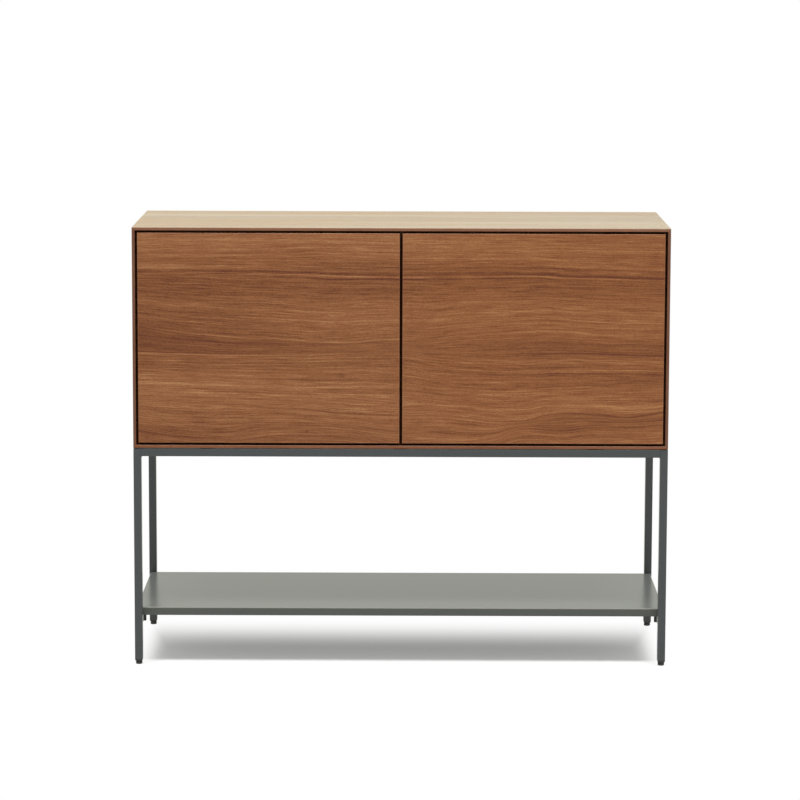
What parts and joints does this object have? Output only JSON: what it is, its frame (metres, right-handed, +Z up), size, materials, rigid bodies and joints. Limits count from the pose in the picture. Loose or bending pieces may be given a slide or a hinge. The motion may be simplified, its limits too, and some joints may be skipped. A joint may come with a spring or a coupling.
{
  "type": "sideboard",
  "caption": "Walnut sideboard with flush handle-less doors on a slim square-tube steel frame with a low open metal shelf.",
  "frame": {"origin": "on the floor at the middle of the footprint", "axes": "+X to the right of someone facing the doors, +Y from the doors to the back, +Z up"},
  "size_m": [1.1, 0.4, 0.91],
  "materials": {
    "walnut_veneer": "satin lacquer",
    "back_board": "matt lacquer",
    "frame_paint": "fine-textured matt powder coat",
    "bright_steel": "nickel-plated",
    "black_plastic": "moulded matt",
    "grey_plastic": "moulded satin",
    "clear_rubber": "translucent"
  },
  "bodies": {
    "cabinet": {"top_panel": "walnut_veneer", "bottom_panel": "walnut_veneer", "left_side_panel": "walnut_veneer", "right_side_panel": "walnut_veneer", "centre_divider": "walnut_veneer", "left_inner_shelf": "walnut_veneer", "right_inner_shelf": "walnut_veneer", "back_panel": "back_board", "left_shelf_pegs": "bright_steel", "left_latch_housing": "grey_plastic", "left_top_rail": "frame_paint", "left_shelf_rail": "frame_paint", "left_upper_hinge_arm": "bright_steel", "left_lower_hinge_arm": "bright_steel", "front_left_leg": "frame_paint", "front_left_leg_plug": "black_plastic", "rear_left_leg": "frame_paint", "rear_left_leg_plug": "black_plastic", "right_shelf_pegs": "bright_steel", "right_latch_housing": "grey_plastic", "right_top_rail": "frame_paint", "right_shelf_rail": "frame_paint", "right_upper_hinge_arm": "bright_steel", "right_lower_hinge_arm": "bright_steel", "front_right_leg": "frame_paint", "front_right_leg_plug": "black_plastic", "rear_right_leg": "frame_paint", "rear_right_leg_plug": "black_plastic", "front_top_rail": "frame_paint", "rear_top_rail": "frame_paint", "hinge_plates": "bright_steel", "hinge_plate_screws": "bright_steel", "hinge_arm_screws": "bright_steel", "latch_screws": "bright_steel", "cabinet_screws": "bright_steel", "shelf_screws": "bright_steel", "lower_shelf": "frame_paint", "shelf_stiffener": "frame_paint", "frame_tabs": "frame_paint", "door_bumpers": "clear_rubber", "frame_spacers": "black_plastic", "shelf_clips": "black_plastic"},
    "left_door": {"left_door": "walnut_veneer", "left_strike_plate": "bright_steel", "left_hinge_pins": "bright_steel", "left_hinge_cup_screws": "bright_steel", "left_upper_hinge_cup": "bright_steel", "left_lower_hinge_cup": "bright_steel"},
    "left_latch_plunger": {"left_latch_plunger": "grey_plastic"},
    "right_door": {"right_door": "walnut_veneer", "right_strike_plate": "bright_steel", "right_hinge_pins": "bright_steel", "right_hinge_cup_screws": "bright_steel", "right_upper_hinge_cup": "bright_steel", "right_lower_hinge_cup": "bright_steel"},
    "right_latch_plunger": {"right_latch_plunger": "grey_plastic"},
    "front_left_foot": {"front_left_foot": "black_plastic"},
    "front_right_foot": {"front_right_foot": "black_plastic"},
    "rear_left_foot": {"rear_left_foot": "black_plastic"},
    "rear_right_foot": {"rear_right_foot": "black_plastic"}
  },
  "joints": [
    {"name": "left_door_hinge", "type": "hinge", "parent": "cabinet", "child": "left_door", "pos_m": [-0.529, -0.19, 0.6825], "axis": [0, 0, -1], "range_deg": [0, 95]},
    {"name": "left_latch_push", "type": "slide", "parent": "cabinet", "child": "left_latch_plunger", "axis": [0, 1, 0], "range_m": [0, 0.003], "stiffness_N_per_m": 300},
    {"name": "right_door_hinge", "type": "hinge", "parent": "cabinet", "child": "right_door", "pos_m": [0.529, -0.19, 0.6825], "axis": [0, 0, 1], "range_deg": [0, 95]},
    {"name": "right_latch_push", "type": "slide", "parent": "cabinet", "child": "right_latch_plunger", "axis": [0, 1, 0], "range_m": [0, 0.003], "stiffness_N_per_m": 300},
    {"name": "front_left_foot_turn", "type": "hinge", "parent": "cabinet", "child": "front_left_foot", "pos_m": [-0.542, -0.192, 0], "axis": [0, 0, 1], "continuous": true},
    {"name": "front_right_foot_turn", "type": "hinge", "parent": "cabinet", "child": "front_right_foot", "pos_m": [0.542, -0.192, 0], "axis": [0, 0, 1], "continuous": true},
    {"name": "rear_left_foot_turn", "type": "hinge", "parent": "cabinet", "child": "rear_left_foot", "pos_m": [-0.542, 0.192, 0], "axis": [0, 0, 1], "continuous": true},
    {"name": "rear_right_foot_turn", "type": "hinge", "parent": "cabinet", "child": "rear_right_foot", "pos_m": [0.542, 0.192, 0], "axis": [0, 0, 1], "continuous": true}
  ]
}
